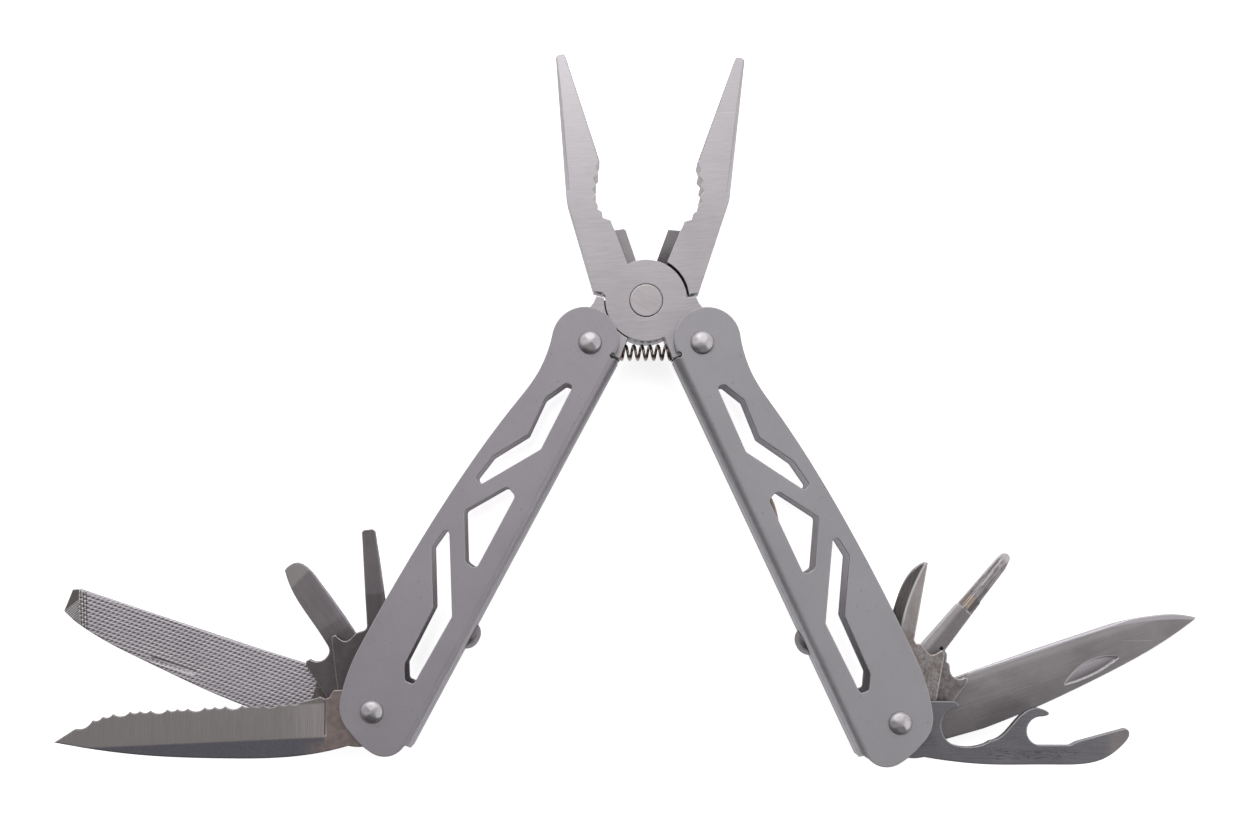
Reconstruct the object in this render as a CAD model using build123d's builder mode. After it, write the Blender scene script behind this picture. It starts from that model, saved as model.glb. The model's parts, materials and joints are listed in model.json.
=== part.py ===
from build123d import *
import math
import os

# Folding pliers multi tool, lying flat with the pliers open and every tool
# fanned out.  X runs across the two handles, Y from the handle ends towards
# the jaws, Z up through the stack.  Millimetres; Z = 0 is the plane that the
# four lower rivet heads stand on.

os.makedirs("parts", exist_ok=True)

# ---- driving dimensions --------------------------------------------------
HEAD_H = 1.1                # rivet heads stand this far off the plates
PLATE = 1.2                 # handle sheet
CHANNEL = 10.8              # clear width inside a handle
JAW_T = 10.4                # pliers thickness
TIP_T = 7.6                 # pliers thickness at the nose tips
KNEE = 20.0                 # where the noses start to thin
REACH = 54.0                # end of a nose from the pivot
NOSE_BEVEL = 0.8            # along the outer edges of the noses
Z_PLATE = HEAD_H
Z_IN = Z_PLATE + PLATE
Z_OUT = Z_IN + CHANNEL
Z_TOP = Z_OUT + PLATE
Z_MID = Z_IN + CHANNEL / 2

PIVOT = (3.330, 22.485)      # pliers pivot; puts the whole tool centred on X = Y = 0
EYE_X = 11.5                # tang rivets from the pivot
EYE_Y = -8.8
GRIP = 88.0                 # tang rivet to tool rivet
HEADING_L = 239.4           # where each handle points
HEADING_R = 297.5
NOSE_L = 108.2              # where each nose points
NOSE_R = 69.8

RIVET_R = 1.9
RIVET_HEAD_R = 2.4
RUN = 0.05                  # running clearance, radial
DISC_R = 8.4                # lap disc round the pivot
DISC_GAP = 0.4
GAP_SHIFT = 0.12            # opens the gap under the nose and closes it by the tang
LAP = 0.05                  # half the gap between the two lap discs
PIN_R = 2.6                 # pivot rivet
FLARE_R = 3.45              # and its flared ends
SPRING_Y = -10.3            # coil spring from the pivot
SPRING_R = 1.45
SPRING_WIRE = 0.3
SPRING_SEAT = 6.2           # half the length between its seats

WEB_V = 6.8                 # web's outer face, across from the tang rivet
WEB_SLOPE = 0.042           # spread of the web along the handle
BEND_R = 2.0                # outer bend radius
HEAD_ARC_R = 6.85           # round end by the tang rivet
WEB_START = 0.35
WEB_STOP = 90.5
LEAF_RIVET_U = 64.7         # leaf spring's rivet along the handle
LEAF_HEAD_R = 2.9
LEAF_HEAD_H = 1.75
LEAF_T = 0.7

TOOL_GAP = 0.28             # between neighbouring tools, a washer in each
WASHER = 0.2


def polar(origin, heading, length):
    a = math.radians(heading)
    return (origin[0] + length * math.cos(a), origin[1] + length * math.sin(a))


EYE_L = (PIVOT[0] - EYE_X, PIVOT[1] + EYE_Y)
EYE_R = (PIVOT[0] + EYE_X, PIVOT[1] + EYE_Y)
TOOL_L = polar(EYE_L, HEADING_L, GRIP)
TOOL_R = polar(EYE_R, HEADING_R, GRIP)


def level(origin, heading, z):
    """Level plane at a height, its x along a heading."""
    a = math.radians(heading)
    return Plane(
        origin=(origin[0], origin[1], z),
        x_dir=(math.cos(a), math.sin(a), 0),
        z_dir=(0, 0, 1),
    )


def handed(side, points):
    """Local points with y measured outwards; side is +1 or -1."""
    return [(x, side * y) for x, y in points]


def save(built, label):
    built.part.label = label
    export_step(built.part, f"parts/{label}.step")


# ---- through rivets with peened heads ------------------------------------
def through_rivet(origin):
    with BuildPart() as rivet:
        with BuildSketch(Plane.XY.offset(Z_PLATE)):
            with Locations(origin):
                Circle(RIVET_R)
        extrude(amount=Z_TOP - Z_PLATE)
        for grow, base in ((HEAD_H, Z_TOP), (-HEAD_H, Z_PLATE)):
            with BuildSketch(Plane(origin=(*origin, 0), x_dir=(1, 0, 0), z_dir=(0, -1, 0))):
                with BuildLine():
                    Polyline((0, base), (RIVET_HEAD_R, base), (RIVET_HEAD_R, base + 0.3 * grow))
                    ThreePointArc(
                        (RIVET_HEAD_R, base + 0.3 * grow),
                        (0.84 * RIVET_HEAD_R, base + 0.71 * grow),
                        (0.45 * RIVET_HEAD_R, base + grow),
                    )
                    Polyline((0.45 * RIVET_HEAD_R, base + grow), (0, base + grow), (0, base))
                make_face()
            revolve(axis=Axis((*origin, 0), (0, 0, 1)))
    return rivet


# ---- handles ---------------------------------------------------------------
WINDOW_1 = [
    (9.4, -1.5), (9.7, 0.1), (14.4, 2.2), (22.7, 1.4), (30.3, 5.4),
    (35.9, 6.1), (36.6, 4.6), (24.0, -2.4),
]
WINDOW_2 = [(34.1, -0.3), (42.9, 4.7), (51.8, -0.9), (52.0, -3.5), (34.9, -2.8)]
WINDOW_3 = [
    (48.1, 6.2), (52.8, 6.6), (63.3, 0.0), (76.3, -0.8), (79.1, -2.6),
    (78.9, -4.5), (62.8, -4.2), (48.3, 5.0),
]


def web(u):
    """Across-handle position of the web's outer face."""
    return -(WEB_V + WEB_SLOPE * u)


def on_head(angle):
    """Point on the round end by the tang rivet; the two ends just clear when all is folded."""
    a = math.radians(angle)
    return (0.1 + HEAD_ARC_R * math.cos(a), 1.15 + HEAD_ARC_R * math.sin(a))


def web_vectors(heading, side):
    """Unit vectors along the web and outwards from it."""
    a = math.radians(heading) - side * math.atan(WEB_SLOPE)
    along = Vector(math.cos(a), math.sin(a), 0)
    out = Vector(-side * math.sin(a), side * math.cos(a), 0)
    return along, out


def in_handle(origin, heading, side, u, v, z):
    a = math.radians(heading)
    x = origin[0] + u * math.cos(a) - side * v * math.sin(a)
    y = origin[1] + u * math.sin(a) + side * v * math.cos(a)
    return (x, y, z)


def handle(origin, heading, side):
    """Folded channel: two windowed plates joined by a web on the inner side."""
    plane = level(origin, heading, Z_PLATE)
    along, out = web_vectors(heading, side)
    start = in_handle(origin, heading, side, -14, web(-14), Z_MID)
    half = CHANNEL / 2 + PLATE
    soft = half - BEND_R
    inner = CHANNEL / 2
    with BuildPart() as built:
        # bent U section, run out past both ends
        with BuildSketch(Plane(origin=start, x_dir=out, z_dir=along)):
            with BuildLine():
                Line((24, -half), (BEND_R, -half))
                RadiusArc((BEND_R, -half), (0, -soft), BEND_R)
                Line((0, -soft), (0, soft))
                RadiusArc((0, soft), (BEND_R, half), BEND_R)
                Polyline((BEND_R, half), (24, half), (24, inner), (BEND_R, inner))
                RadiusArc((BEND_R, inner), (PLATE, soft), -(BEND_R - PLATE))
                Line((PLATE, soft), (PLATE, -soft))
                RadiusArc((PLATE, -soft), (BEND_R, -inner), -(BEND_R - PLATE))
                Polyline((BEND_R, -inner), (24, -inner), (24, -half))
            make_face()
        extrude(amount=116)
        # plan outline
        edge = [
            on_head(68), (6.7, 6.5), (11.0, 6.12), (18.5, 6.9), (27.5, 8.0), (38.0, 8.8),
            (52.0, 9.3), (66.0, 9.3), (78.0, 8.95),
        ]
        with BuildSketch(plane):
            with BuildLine():
                ThreePointArc(*handed(side, [on_head(68), on_head(167), on_head(266)]))
                Spline(*handed(side, edge))
                ThreePointArc(*handed(side, [(78.0, 8.95), (84.5, 8.15), (89.6, 6.7)]))
                ThreePointArc(*handed(side, [(89.6, 6.7), (92.3, 4.8), (93.9, 1.8)]))
                ThreePointArc(*handed(side, [(93.9, 1.8), (94.95, -1.4), (95.3, -4.2)]))
                ThreePointArc(*handed(side, [(95.3, -4.2), (94.3, -7.4), (90.6, -9.3)]))
                Polyline(
                    *handed(
                        side,
                        [
                            (90.6, -9.3),
                            (WEB_STOP, -9.4),
                            (WEB_STOP, -12),
                            (WEB_START, -12),
                            (WEB_START, -5.75),
                            on_head(266),
                        ],
                    )
                )
            make_face()
        extrude(amount=2 * PLATE + CHANNEL, mode=Mode.INTERSECT)
        # between the plates the web stops short of both rounded ends
        with BuildSketch(level(origin, heading, Z_IN)):
            for u in (WEB_START - 10, WEB_STOP + 10):
                with Locations((u, 0)):
                    Rectangle(20, 40)
        extrude(amount=CHANNEL, mode=Mode.SUBTRACT)
        # windows, through both plates
        for corners, r in ((WINDOW_1, 0.7), (WINDOW_2, 1.0), (WINDOW_3, 0.75)):
            with BuildSketch(plane) as window:
                with BuildLine():
                    Polyline(*handed(side, corners), close=True)
                make_face()
                fillet(window.vertices(), r)
            extrude(amount=2 * PLATE + CHANNEL, mode=Mode.SUBTRACT)
        # rivet holes and the bend relief beside the web's top end
        with BuildSketch(plane):
            with Locations((0, 0), (GRIP, 0)):
                Circle(RIVET_R)
            with Locations((0.0, -side * 5.35)):
                Circle(0.6)
        extrude(amount=2 * PLATE + CHANNEL, mode=Mode.SUBTRACT)
        # hole for the leaf spring's rivet, square to the web
        hole = in_handle(origin, heading, side, LEAF_RIVET_U, web(LEAF_RIVET_U), Z_MID)
        with BuildSketch(Plane(origin=hole, z_dir=out)):
            Circle(1.4)
        extrude(amount=PLATE + 0.4, both=True, mode=Mode.SUBTRACT)
    return built


# ---- leaf springs ----------------------------------------------------------
def leaf_spring(origin, heading, side, bow):
    """Strip riveted inside the web: four fingers bear on the tool tangs, the free end bows up."""
    width = CHANNEL - 1.6
    seat = PLATE + 0.01
    free = [(32.5, -4.1 + bow), (36.0, -4.0 + bow), (42.0, -5.0 + 0.6 * bow), (50.0, -6.45 + 0.25 * bow)]
    held = [(58.0, web(58) + seat), (71.0, web(71) + seat)]
    finger = [(79.0, -7.6), (84.5, -7.2)]

    def raised(points):
        return [(u, v + LEAF_T) for u, v in points]

    with BuildPart() as built:
        with BuildSketch(level(origin, heading, Z_MID - width / 2)):
            with BuildLine():
                for face in (list, raised):
                    lean = handed(side, [(1, 0.12), (1, -WEB_SLOPE)])
                    Spline(*handed(side, face([*free, held[0]])), tangents=lean)
                    Line(*handed(side, face(held)))
                    Spline(*handed(side, face([held[1], *finger])), tangents=handed(side, [(1, -WEB_SLOPE), (1, 0)]))
                Line(*handed(side, [free[0], raised(free)[0]]))
                Line(*handed(side, [finger[-1], raised(finger)[-1]]))
            make_face()
        extrude(amount=width)
        # slots between the fingers
        slots = [Z_MID - 2.6, Z_MID, Z_MID + 2.6]
        for z in slots:
            with BuildSketch(level(origin, heading, z - 0.25)):
                with Locations((80, -side * 8)):
                    Rectangle(14, 8)
            extrude(amount=0.5, mode=Mode.SUBTRACT)
        along, out = web_vectors(heading, side)
        hole = in_handle(origin, heading, side, LEAF_RIVET_U, web(LEAF_RIVET_U), Z_MID)
        with BuildSketch(Plane(origin=hole, z_dir=out)):
            Circle(1.4)
        extrude(amount=3, both=True, mode=Mode.SUBTRACT)
    return built


def leaf_rivet(origin, heading, side):
    along, out = web_vectors(heading, side)
    foot = in_handle(origin, heading, side, LEAF_RIVET_U, web(LEAF_RIVET_U), Z_MID)
    centre = Vector(*foot)
    grip = PLATE + LEAF_T + 0.02
    with BuildPart() as built:
        with BuildSketch(Plane(origin=centre, x_dir=along, z_dir=(0, 0, 1))):
            with BuildLine():
                ThreePointArc(*handed(side, [(0, -LEAF_HEAD_H), (1.95, -1.2), (LEAF_HEAD_R, 0)]))
                Polyline(
                    *handed(
                        side,
                        [
                            (LEAF_HEAD_R, 0), (1.4, 0), (1.4, grip), (2.1, grip),
                            (1.9, grip + 0.55), (0, grip + 0.55), (0, -LEAF_HEAD_H),
                        ],
                    )
                )
            make_face()
        revolve(axis=Axis(centre, out))
    return built


# ---- pliers ------------------------------------------------------------------
COARSE_TEETH = [
    (30.4, 0.1), (29.0, 1.35), (28.3, 1.15), (27.8, 1.25), (27.15, 2.55), (26.2, 2.35), (25.75, 2.4), (25.1, 3.45),
    (24.1, 3.1), (23.7, 3.1), (23.1, 3.75), (22.2, 3.45), (21.7, 3.35), (21.05, 3.8), (20.4, 3.1), (19.95, 2.95),
    (18.9, 3.2), (18.5, 2.6), (17.9, 1.8), (16.9, 1.8), (15.8, 1.65),
]
OUTER_NOSE = [(5.15, 9.65), (24.8, 9.0), (26.5, 8.7), (53.5, 2.0), (53.9, 1.5), (53.7, 0.15), (52.9, 0.0)]
FINE_PITCH = 0.75


def jaw(nose_heading, side, upper):
    """One half of the pliers.

    side is +1 when the nose leans to the left; its tang is then the right one.
    upper is +1 when its lap disc is the upper one.
    """
    low = Z_MID - JAW_T / 2
    nose = level(PIVOT, nose_heading, low)
    base = level(PIVOT, 0, low)
    lap = Z_MID if upper > 0 else low
    other = low - 1 if upper > 0 else Z_MID
    with BuildPart() as built:
        # nose, in plan
        with BuildSketch(nose):
            with BuildLine():
                outline = [(0, 0), (2.9, 7.4), (4.4, 8.15), *OUTER_NOSE, *COARSE_TEETH, (8.0, 1.3), (0, 0)]
                Polyline(*handed(side, outline))
            make_face()
        # tang, in plan
        with BuildSketch(base):
            with BuildLine():
                Polyline(
                    *[
                        (side * x, y)
                        for x, y in [
                            (0, 0), (9.2, 0.6), (10.2, 0.85), (10.9, -0.6), (EYE_X + 3.3, EYE_Y + 3.35),
                            (EYE_X, EYE_Y - 2), (7.05, -11.3), (5.5, -11.95), (3.75, -7.5), (0, 0),
                        ]
                    ]
                )
            make_face()
            with Locations((side * EYE_X, EYE_Y)):
                Circle(4.7)
        extrude(amount=JAW_T)
        # thin the nose towards its tip in a slow arc, above and below
        thinning = (JAW_T - TIP_T) / 2
        for flip, edge in ((1, 0), (-1, JAW_T)):
            with BuildSketch(Plane(nose.origin, x_dir=nose.x_dir, z_dir=-nose.y_dir)):
                with BuildLine():
                    ThreePointArc(
                        (KNEE, edge),
                        ((KNEE + REACH) / 2, edge + flip * thinning / 4),
                        (REACH, edge + flip * thinning),
                    )
                    Polyline(
                        (REACH, edge + flip * thinning),
                        (REACH, edge - flip),
                        (KNEE, edge - flip),
                        (KNEE, edge),
                    )
                make_face()
            extrude(amount=30, both=True, mode=Mode.SUBTRACT)
        # bevels along its outer edges, fading out at the tip
        for flip in (1, -1):
            ends = []
            for (x, y), fade in zip(OUTER_NOSE[2:4], (0.0, 0.3)):
                drop = thinning * ((x - KNEE) / (REACH - KNEE)) ** 2 - fade
                ends.append(nose.from_local_coords((x, side * (y + fade), JAW_T / 2 + flip * (JAW_T / 2 - drop))))
            run = ends[1] - ends[0]
            width = math.sqrt(2) * NOSE_BEVEL
            with BuildSketch(Plane(origin=ends[0], x_dir=(-run.Y, run.X, 0), z_dir=run)):
                Rectangle(width, width, rotation=45)
            extrude(amount=run.length, mode=Mode.SUBTRACT)
        # the heel is cut back below, clear of the tang under it
        with BuildSketch(nose):
            with BuildLine():
                undercut = [(4.55, 7.7), (4.55, 8.0), (6.0, 10.2), (3.0, 10.2), (3.0, 7.7)]
                Polyline(*handed(side, undercut), close=True)
            make_face()
        extrude(amount=JAW_T / 2 + 0.9, mode=Mode.SUBTRACT)
        # room for the other half's disc, then this half's own disc
        with BuildSketch(level(PIVOT, 0, other)):
            with Locations((-side * GAP_SHIFT, GAP_SHIFT)):
                Circle(DISC_R + DISC_GAP)
        extrude(amount=Z_MID - other if upper > 0 else JAW_T, mode=Mode.SUBTRACT)
        with BuildSketch(level(PIVOT, 0, lap + (LAP if upper > 0 else 0))):
            Circle(DISC_R)
        extrude(amount=JAW_T / 2 - LAP)
        # wire cutter: the two blades pass each other at mid height
        if upper > 0:
            with BuildSketch(nose):
                with BuildLine():
                    blade = [(8.9, 2.0), (8.9, -0.85), (15.7, -0.8), (16.1, -0.55), (16.5, 1.9)]
                    Polyline(*handed(side, blade), close=True)
                make_face()
            extrude(amount=JAW_T / 2 - LAP)
        else:
            foot = nose.from_local_coords((8.95, 0, 0))
            with BuildSketch(Plane(foot, x_dir=-side * nose.y_dir, z_dir=nose.x_dir)):
                with BuildLine():
                    Polyline(
                        (0.85, JAW_T / 2 + LAP),
                        (-2.2, JAW_T / 2 + LAP),
                        (-2.2, JAW_T),
                        (-1.95, JAW_T),
                        close=True,
                    )
                make_face()
            extrude(amount=7.0)
            with BuildSketch(nose):
                with BuildLine():
                    Polyline(*handed(side, [(8.0, 1.2), (8.0, -1), (17.0, -1), (17.0, 1.2)]), close=True)
                make_face()
            extrude(amount=JAW_T / 2 + LAP, mode=Mode.SUBTRACT)
        # fine teeth along the flat of the nose
        for i in range(29):
            with BuildSketch(level(polar(PIVOT, nose_heading, 31.0 + FINE_PITCH * i), nose_heading, low)):
                with BuildLine():
                    Polyline(*handed(side, [(-0.28, -0.4), (0.28, -0.4), (0, 0.52 - 0.01 * i)]), close=True)
                make_face()
            extrude(amount=JAW_T, mode=Mode.SUBTRACT)
        # tang rivet bore
        with BuildSketch(base):
            with Locations((side * EYE_X, EYE_Y)):
                Circle(RIVET_R + RUN)
        extrude(amount=JAW_T, mode=Mode.SUBTRACT)
        # blind pocket for the coil spring
        with BuildSketch(Plane(origin=(PIVOT[0] + side * 4.0, PIVOT[1] + SPRING_Y, Z_MID), z_dir=(side, 0, 0))):
            Circle(SPRING_R + 0.45)
        extrude(amount=SPRING_SEAT - 4.0, mode=Mode.SUBTRACT)
        # pivot bore, flared at the outer face
        with BuildSketch(Plane(origin=(*PIVOT, 0), x_dir=(1, 0, 0), z_dir=(0, -1, 0))):
            with BuildLine():
                Polyline(*pivot_half(RUN if upper > 0 else 0.0, upper), close=True)
            make_face()
        revolve(axis=Axis((*PIVOT, 0), (0, 0, 1)), mode=Mode.SUBTRACT)
    return built




def pivot_half(grow, upper):
    """Half section of the pivot rivet above or below mid height."""
    face = upper * JAW_T / 2
    return [
        (0, Z_MID),
        (PIN_R + grow, Z_MID),
        (PIN_R + grow, Z_MID + face - upper * (0.9 + grow)),
        (FLARE_R + grow, Z_MID + face),
        (0, Z_MID + face),
    ]


with BuildPart() as pivot:
    with BuildSketch(Plane(origin=(*PIVOT, 0), x_dir=(1, 0, 0), z_dir=(0, -1, 0))):
        for upper in (1, -1):
            with BuildLine():
                Polyline(*pivot_half(0.0, upper), close=True)
            make_face()
    revolve(axis=Axis((*PIVOT, 0), (0, 0, 1)))

with BuildPart() as coil:
    turns = 8
    length = 2 * SPRING_SEAT - 2 * SPRING_WIRE - 0.1
    start = (PIVOT[0] - length / 2, PIVOT[1] + SPRING_Y, Z_MID)
    with BuildLine() as wire:
        Helix(pitch=length / turns, height=length, radius=SPRING_R, center=start, direction=(1, 0, 0))
    with BuildSketch(Plane(origin=wire.line @ 0, z_dir=wire.line % 0)):
        Circle(SPRING_WIRE)
    sweep(path=wire.line, is_frenet=True)


# ---- folding tools -----------------------------------------------------------
# Outlines are drawn with x out along the tool from its rivet and y towards the
# side that faces out of the handle when the tool is folded away.
BACK = [(5.0, 7.1), (-3.8, 4.1), (-5.6, -2.6)]
HEEL = [(-5.6, -2.6), (-2.2, -5.7), (4.0, -5.2)]
HOOK_SMALL = [(16.4, 1.8), (15.9, 2.7), (15.2, 3.5), (14.8, 4.6), (15.3, 5.6), (16.2, 6.4)]


def tool_level(origin, heading, thicknesses, place):
    """Plane of a tool's lower face, counting places down from the top plate."""
    top = Z_OUT - TOOL_GAP
    for t in thicknesses[:place]:
        top -= t + TOOL_GAP
    return level(origin, heading, top - thicknesses[place])


STACK_L = (2.2, 2.4, 2.4, 2.4)
STACK_R = (2.3, 2.1, 2.8, 2.2)
DIR_SERRATED = 180.0
DIR_SMALL = 95.2
DIR_LARGE = 122.6
DIR_FILE = 162.5
DIR_OPENER = 0.0
DIR_AWL = 80.0
DIR_CROSS = 50.9
DIR_KNIFE = 18.2


def bore(plane, thickness):
    with BuildSketch(plane) as hole:
        Circle(RIVET_R + RUN)
    extrude(hole.sketch, amount=thickness, mode=Mode.SUBTRACT)


def thin_to(plane, thickness, start, end, left):
    """Grinds both faces along x: full thickness at start, left at end."""
    cut = (thickness - left) / 2
    for flip, face in ((1, 0), (-1, thickness)):
        with BuildSketch(Plane(plane.origin, x_dir=plane.x_dir, z_dir=-plane.y_dir)) as wedge:
            with BuildLine():
                Polyline(
                    (start, face),
                    (end, face + flip * cut),
                    (end + 5, face + flip * cut),
                    (end + 5, face - flip),
                    (start, face - flip),
                    close=True,
                )
            make_face()
        extrude(wedge.sketch, amount=20, both=True, mode=Mode.SUBTRACT)


def hollow_to(plane, side, thickness, near, far, spine, edge, left, lean=0.0):
    """Grinds both faces across y, between two stations along x; lean turns the grind towards the spine."""
    cut = (thickness - left) / 2
    turned = plane.rotated((0, 0, side * lean))
    station = Plane(plane.from_local_coords((near, 0, 0)), x_dir=turned.y_dir, z_dir=turned.x_dir)
    for flip, face in ((1, 0), (-1, thickness)):
        with BuildSketch(station) as wedge:
            with BuildLine():
                Polyline(
                    (side * spine, face),
                    (side * edge, face + flip * cut),
                    (side * (edge - 12), face + flip * cut),
                    (side * (edge - 12), face - flip),
                    (side * spine, face - flip),
                    close=True,
                )
            make_face()
        extrude(wedge.sketch, amount=far - near, mode=Mode.SUBTRACT)


def serrated_blade(origin, side):
    t = STACK_L[0]
    plane = tool_level(origin, DIR_SERRATED, STACK_L, 0)

    def crest(x):
        return -1.8 + 0.055 * (x - 15) + 0.023 * max(0.0, x - 50) ** 2

    tips = [61.3]
    while tips[-1] > 18:
        for step in (3.5, 2.05, 2.15):
            tips.append(tips[-1] - step)
    with BuildPart() as built:
        with BuildSketch(plane):
            with BuildLine():
                Polyline(*handed(side, [(61.3, crest(61.3)), (65.6, 6.45), (60.2, 7.4)]))
                Spline(*handed(side, [(60.2, 7.4), (45.8, 9.15), (31.0, 9.7), (14.9, 9.15), (5.0, 7.1)]))
                ThreePointArc(*handed(side, BACK))
                ThreePointArc(*handed(side, HEEL))
                Polyline(
                    *handed(
                        side,
                        [(4.0, -5.2), (5.2, -4.45), (7.9, -4.35), (8.35, -3.9), (8.9, -2.9), (9.8, -2.5), (11.0, -3.0)],
                    )
                )
                Polyline(*handed(side, [(11.0, -3.0), (11.5, -2.7), (tips[-1], crest(tips[-1]))]))
                for a, b in zip(tips, tips[1:]):
                    deep = 0.21 * (a - b)
                    middle = (crest(a) + crest(b)) / 2 + deep
                    ThreePointArc(*handed(side, [(a, crest(a)), ((a + b) / 2, middle), (b, crest(b))]))
            make_face()
        extrude(amount=t)
        hollow_to(plane, side, t, 9.6, 70, 5.3, -1.6, 0.5, lean=2.6)
        bore(plane, t)
    return built


def small_flat(origin, side):
    t = STACK_L[1]
    plane = tool_level(origin, DIR_SMALL, STACK_L, 1)
    with BuildPart() as built:
        with BuildSketch(plane):
            with BuildLine():
                line = [(4.0, -5.2), (12.0, -4.7), (29.7, -4.0), (36.9, -3.6), (37.4, -3.1), (37.4, -1.25)]
                Polyline(*handed(side, line))
                Polyline(*handed(side, [(37.4, -1.25), (37.0, -0.8), (17.6, -0.2)]))
                Spline(*handed(side, [(17.6, -0.2), (16.8, 0.3), *HOOK_SMALL]))
                Polyline(*handed(side, [HOOK_SMALL[-1], (16.1, 7.2), (15.2, 7.4), (5.0, 7.1)]))
                ThreePointArc(*handed(side, BACK))
                ThreePointArc(*handed(side, HEEL))
            make_face()
        extrude(amount=t)
        thin_to(plane, t, 24.0, 37.0, 0.7)
        bore(plane, t)
    return built


def large_flat(origin, side):
    t = STACK_L[2]
    plane = tool_level(origin, DIR_LARGE, STACK_L, 2)
    hook = [(15.5, 1.4), (14.6, 2.7), (14.8, 4.6), (15.4, 5.4), (16.2, 5.9)]
    with BuildPart() as built:
        with BuildSketch(plane):
            with BuildLine():
                Polyline(*handed(side, [(4.0, -5.2), (19.6, -5.0), (25.2, -4.75), (28.8, -4.5)]))
                Spline(*handed(side, [(28.8, -4.5), (33.4, -3.7), (34.4, -3.0), (34.9, -0.7), (34.6, 0.3)]))
                Spline(*handed(side, [(34.6, 0.3), (27.4, 1.4), (19.8, 1.1), (17.2, 1.1), *hook]))
                Polyline(*handed(side, [hook[-1], (16.2, 6.7), (15.5, 7.1), (5.0, 7.1)]))
                ThreePointArc(*handed(side, BACK))
                ThreePointArc(*handed(side, HEEL))
            make_face()
        extrude(amount=t)
        thin_to(plane, t, 20.0, 34.8, 0.9)
        bore(plane, t)
    return built


def file_tool(origin, side):
    t = STACK_L[3]
    plane = tool_level(origin, DIR_FILE, STACK_L, 3)
    with BuildPart() as built:
        with BuildSketch(plane):
            with BuildLine():
                line = [(4.0, -5.2), (14.0, -4.5), (29.0, -4.5), (66.8, -5.15), (68.3, -4.6), (68.75, 0.3)]
                Polyline(*handed(side, line))
                line = [(68.75, 0.3), (59.5, 3.3), (47.9, 5.25), (36.4, 6.85), (26.0, 7.75), (17.0, 7.8)]
                Spline(*handed(side, line))
                Polyline(*handed(side, [(17.0, 7.8), (5.0, 7.1)]))
                ThreePointArc(*handed(side, BACK))
                ThreePointArc(*handed(side, HEEL))
            make_face()
        extrude(amount=t)
        # slanted flat at the tip and a nail nick near the outer edge
        with BuildSketch(Plane(plane.origin, x_dir=plane.x_dir, z_dir=-plane.y_dir)):
            with BuildLine():
                Polyline((66.2, t), (69.5, t - 1.5), (69.5, t + 1), close=True)
            make_face()
        extrude(amount=20, both=True, mode=Mode.SUBTRACT)
        spot = plane.from_local_coords((43.2, side * 4.2, t))
        with BuildSketch(Plane(spot, x_dir=plane.x_dir, z_dir=(0, 0, 1))):
            SlotOverall(10.0, 1.0)
        extrude(amount=-0.5, mode=Mode.SUBTRACT)
        bore(plane, t)
    return built


def can_opener(origin, side):
    t = STACK_R[0]
    plane = tool_level(origin, DIR_OPENER, STACK_R, 0)
    with BuildPart() as built:
        with BuildSketch(plane):
            with BuildLine():
                Polyline(*handed(side, [(4.0, -5.2), (6.3, -4.4), (11.4, -4.35)]))
                Spline(
                    *handed(
                        side,
                        [(11.4, -4.35), (12.2, -3.4), (10.4, -2.5), (8.6, 0.6), (9.8, 3.7), (12.9, 5.0), (18.6, 3.8)],
                    )
                )
                Spline(
                    *handed(
                        side,
                        [(18.6, 3.8), (23.3, 0.4), (26.2, -2.4), (28.9, -2.9), (30.75, -1.9), (29.4, -1.25)],
                    )
                )
                ThreePointArc(*handed(side, [(29.4, -1.25), (26.2, 1.6), (28.9, 4.7)]))
                Polyline(*handed(side, [(28.9, 4.7), (35.1, 4.7), (36.7, 3.9), (46.6, 1.2)]))
                line = [(46.6, 1.2), (47.2, 1.8), (45.4, 5.1), (41.3, 7.75), (31.0, 8.65), (18.0, 8.6), (5.0, 7.1)]
                Spline(*handed(side, line))
                ThreePointArc(*handed(side, BACK))
                ThreePointArc(*handed(side, HEEL))
            make_face()
        extrude(amount=t)
        bore(plane, t)
    return built


def awl(origin, side):
    t = STACK_R[1]
    plane = tool_level(origin, DIR_AWL, STACK_R, 1)
    hook = [(16.4, 1.0), (16.55, 1.9), (15.9, 2.85), (14.8, 4.5), (15.3, 5.5), (16.05, 6.3)]
    with BuildPart() as built:
        with BuildSketch(plane):
            with BuildLine():
                Polyline(*handed(side, [(4.0, -5.2), (17.0, -5.1), (21.7, -4.9)]))
                Spline(*handed(side, [(21.7, -4.9), (28.4, -3.75), (32.0, -1.9), (33.6, 0.0)]))
                Polyline(*handed(side, [(33.6, 0.0), (33.4, 0.45), (17.2, 0.4), hook[0]]))
                Spline(*handed(side, hook))
                Polyline(*handed(side, [hook[-1], (16.1, 6.8), (15.4, 7.15), (5.0, 7.1)]))
                ThreePointArc(*handed(side, BACK))
                ThreePointArc(*handed(side, HEEL))
            make_face()
        extrude(amount=t)
        hollow_to(plane, side, t, 15.5, 40, -2.3, -5.2, 0.4)
        bore(plane, t)
    return built


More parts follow.
